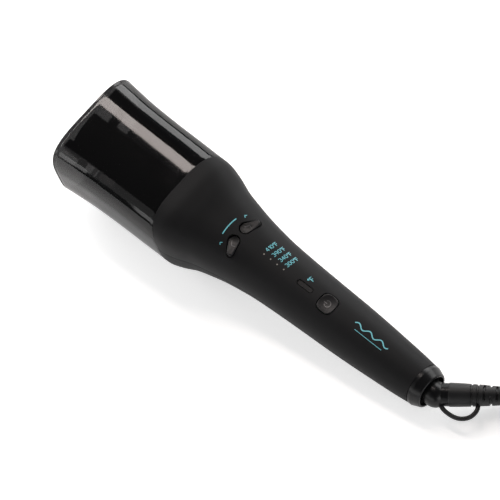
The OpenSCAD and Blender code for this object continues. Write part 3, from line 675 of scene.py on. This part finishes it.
def boot_body(around=96):
    """Tapered sleeve: two grooves all round, then slots on alternate sides that let it bend."""
    end = BOOT_END - 0.1
    ts = np.concatenate([[BOOT_START], np.arange(BOOT_START + 0.4, end, 0.2), [end]])
    a = 2 * np.pi * np.arange(around) / around
    rows = []
    for t in ts:
        r = boot_r(t) * np.ones(around)
        k = (t - RIB_START) / RIB_PITCH
        i = int(k)
        centre = RIB_START + 0.65 + RIB_PITCH * i
        if 0 <= k < 2:
            r = r - 0.75 * step01(0.85 - abs(t - centre), 0, 0.3)
        elif 2 <= k < 9.2:
            deep = step01(1.05 - abs(t - centre), 0, 0.35)
            open_half = np.radians(58)
            for turn in ((0, np.pi) if i % 2 else (np.pi / 2, -np.pi / 2)):
                off = np.abs((a - turn + np.pi) % (2 * np.pi) - np.pi)
                across = np.sqrt(np.clip(1 - ((t - centre) / 1.2) ** 2, 0, 1))
                r = r - 1.5 * deep * step01(open_half * (0.82 + 0.18 * across) - off, 0, 0.1)
        if t > end - 0.3 or t < BOOT_START + 0.2:
            r = r - 0.25
        rows.append([arm(t, q * math.cos(b), q * math.sin(b)) for q, b in zip(r, a)])
    return outward(capped(rows))


boot = piece("boot_skin", *boot_body(), MATS["soft_rubber"], "cord_swivel")
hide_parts("strain_relief_boot")

# The hanging loop: distance along the strain relief, and to its side.
LOOP = [(3, 5.6), (4.2, 8), (6.4, 10.9), (9.4, 13.4), (13, 15.6), (17, 16.9), (21, 16.8), (24.6, 15.4),
        (27.2, 12.8), (28.7, 10), (29.2, 6.4)]
LOOP_R = 0.0016
loop_line = even(smooth_path([arm(t, side, 1.4) for t, side in LOOP]), 0.0006)
loop = piece("loop_skin", *outward(sweep(loop_line, LOOP_R)), MATS["soft_rubber"], "cord_swivel")
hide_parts("hanging_loop")

# The coil's middle in m, and in mm the radii of its turns, a turn's width and the heights of its layers.
COIL = np.array([0.2612, 0.029])
CORD_D = 0.007
TURN_R = (44, 37, 30)
PITCH = 7
LOW, MIDDLE, HIGH = 3.7, 10.7, 17.7


def coil_path():
    """The coil, in mm: three turns inwards on the table, over two and a half outwards on them, and about one
    and a half on top, which ends beside the coil."""
    out = []
    for turn in np.arange(0, 2620, 4.0):
        n, at = int(turn // 360), turn % 360
        if n < 3:
            r = TURN_R[n] - (PITCH * step01(at, 300, 360) if n < 2 else 0)
            z = LOW + ((MIDDLE - LOW) * step01(at, 240, 300) if n == 2 else 0)
        elif n < 5:
            r = TURN_R[5 - n] + PITCH * step01(at, 180, 240)
            z = MIDDLE
        else:
            on_top = turn - 1800
            r = (TURN_R[0] - 0.8 * step01(on_top, 120, 180) - PITCH * step01(on_top, 400, 480)
                 + 16.5 * step01(on_top, 655, 735))
            z = (MIDDLE + (HIGH - MIDDLE) * step01(on_top, 120, 180) + 7.1 * step01(on_top, 632, 680)
                 - 16.8 * step01(on_top, 704, 765))
        a = math.radians(126.2 - turn)
        out.append((COIL[0] * 1000 + r * math.cos(a), COIL[1] * 1000 + r * math.sin(a), z))
    return out


boot_mouth = arm(BOOT_END)
PLUG = np.array([317.2, 13.0, 8.0])
lead = [*[tuple(1000 * arm(t)) for t in (BOOT_END - 3, BOOT_END, BOOT_END + 3.5)],
        (206.8, 48.4, 4.4), (216.2, 54.1, 3.8), (226.2, 59.2, 3.7)]
tail = [(313.8, 40, 8.0), (316.6, 27, 8.0), *[tuple(PLUG + (0, dy, 0)) for dy in (4, 0, -4)]]
cord_line = even(smooth_path(lead + coil_path() + tail, 5) / 1000, 0.0022)
cord_verts, cord_faces = outward(sweep(cord_line, CORD_D / 2, 20))
cord = piece("cord", cord_verts, cord_faces, MATS["cord_jacket"], body=None)
toward_coil = np.array([COIL[0], COIL[1], 0.0]) - np.array([boot_mouth[0], boot_mouth[1], 0.0])
toward_coil /= np.linalg.norm(toward_coil)
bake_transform(cord)
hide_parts("cord_lead", "cord_coil", "cord_end")


def strap(turn, width=9.0):
    """A hook-and-loop strap round the coil's turns."""
    a = math.radians(turn)
    radial, tangent = np.array([math.cos(a), math.sin(a), 0]), np.array([-math.sin(a), math.cos(a), 0])
    base = np.array([COIL[0] * 1000, COIL[1] * 1000, 0])
    outer, inner, middle_z = (11.8, 10.9), (11.0, 10.1), 11.1
    rows = []
    for (half_w, half_h), across in ((outer, -1), (outer, 1), (inner, 1), (inner, -1)):
        b = 2 * np.pi * np.arange(72) / 72
        r = (np.abs(np.cos(b) / half_w) ** 5 + np.abs(np.sin(b) / half_h) ** 5) ** -0.2
        rows.append([(base + (TURN_R[1] + q * math.cos(k)) * radial + across * width / 2 * tangent
                      + np.array([0, 0, middle_z + q * math.sin(k)])) / 1000 for q, k in zip(r, b)])
    return outward((np.concatenate(rows), grid_faces(4, 72, wrap_rows=True)))


ties = piece("tie_straps", *join([strap(70), strap(250)]), MATS["tie_fabric"])
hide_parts("cord_ties")


# The plug's sections, in mm: distance from its rear end, width, height and squareness.
PLUG_SECTIONS = [
    (0, 8.6, 8.6, 2), (0.6, 9.4, 9.4, 2), (5, 9.8, 9.6, 2), (8, 11, 10.4, 2.2), (11, 14, 12, 2.5),
    (14, 19, 14.2, 3), (17, 22.6, 15.4, 3.4), (20, 23.6, 15.8, 3.6), (24, 22.6, 15.6, 3.6),
    (28, 22.0, 15.4, 3.6), (32, 22.6, 15.6, 3.6), (36, 23.4, 15.8, 3.6), (37.4, 23.0, 15.4, 3.6),
    (38, 21.6, 14.0, 3.6)]


def plug_shape():
    """A moulded two-pole plug that points to -Y."""
    rows = []
    for y, w, h, e in PLUG_SECTIONS:
        b = 2 * np.pi * np.arange(64) / 64
        r = (np.abs(2 * np.cos(b) / w) ** e + np.abs(2 * np.sin(b) / h) ** e) ** (-1 / e)
        rows.append([(PLUG + (q * math.cos(k), -y, q * math.sin(k))) / 1000 for q, k in zip(r, b)])
    return outward(capped(rows))


plug = piece("plug_skin", *plug_shape(), MATS["black_plastic"])
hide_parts("plug_body")

# ---- floor and light ----

EDGE, UNDERSIDE, TABLE = 6.0, -0.02, -0.0002
corners = [(-EDGE, -EDGE), (EDGE, -EDGE), (EDGE, EDGE), (-EDGE, EDGE)]
floor = piece("floor", [(x, y, z) for z in (UNDERSIDE, TABLE) for x, y in corners],
              [(3, 2, 1, 0), (4, 5, 6, 7), (0, 1, 5, 4), (1, 2, 6, 5), (2, 3, 7, 6), (3, 0, 4, 7)],
              FLOOR, body=None)

world = bpy.data.worlds.new("studio")
bpy.context.scene.world = world
world.use_nodes = True
world.node_tree.nodes["Background"].inputs["Color"].default_value = (1, 1, 1, 1)
world.node_tree.nodes["Background"].inputs["Strength"].default_value = 0.06
bpy.context.scene.view_settings.view_transform = "Standard"


def softbox(name, at, aim, length, width, power, grain=AXIS):
    """An area light at a tool point, in mm, aimed at another; its length lies as near to grain as it can."""
    data = bpy.data.lights.new(name, "AREA")
    data.shape = "RECTANGLE"
    data.size, data.size_y = length, width
    data.energy = power
    light = bpy.data.objects.new(name, data)
    bpy.context.scene.collection.objects.link(light)
    position = place(*at)
    z = position - place(*aim)
    z /= np.linalg.norm(z)
    x = grain - z * z.dot(grain)
    x /= np.linalg.norm(x)
    y = np.cross(z, x)
    light.matrix_world = Matrix(
        [[*map(float, (x[i], y[i], z[i], position[i]))] for i in range(3)] + [[0, 0, 0, 1]])
    return light


def reflected(swing, distance=1300.0):
    """The tool point, in mm, that the camera sees mirrored in a surface whose normal is swung from the
    controls towards +Y by half of that angle, in degrees."""
    a = ROLL + math.radians(swing)
    c = math.cos(YAW) * distance
    return 45 - math.sin(YAW) * distance, c * math.sin(a), 35 + c * math.cos(a)


softbox("left", (0, 1200, 480), (60, 150, 20), 1.6, 0.7, 18)
softbox("right", (250, -1350, 450), (200, -200, 0), 1.6, 0.5, 6)
softbox("mouth", (-1400, -100, 520), (-100, 0, 0), 1.3, 0.6, 18, SIDE)
softbox("tail", (1600, 0, 420), (300, 0, 0), 1.3, 0.5, 8, SIDE)
strip = softbox("strip", (-650, 385, 1134), (45, 9, 35), 1.2, 0.2, 8.5)
strip.data.color = (1, 0.9, 0.86)
softbox("card", reflected(-62), (45, -30, 30), 1.0, 0.8, 1.1)
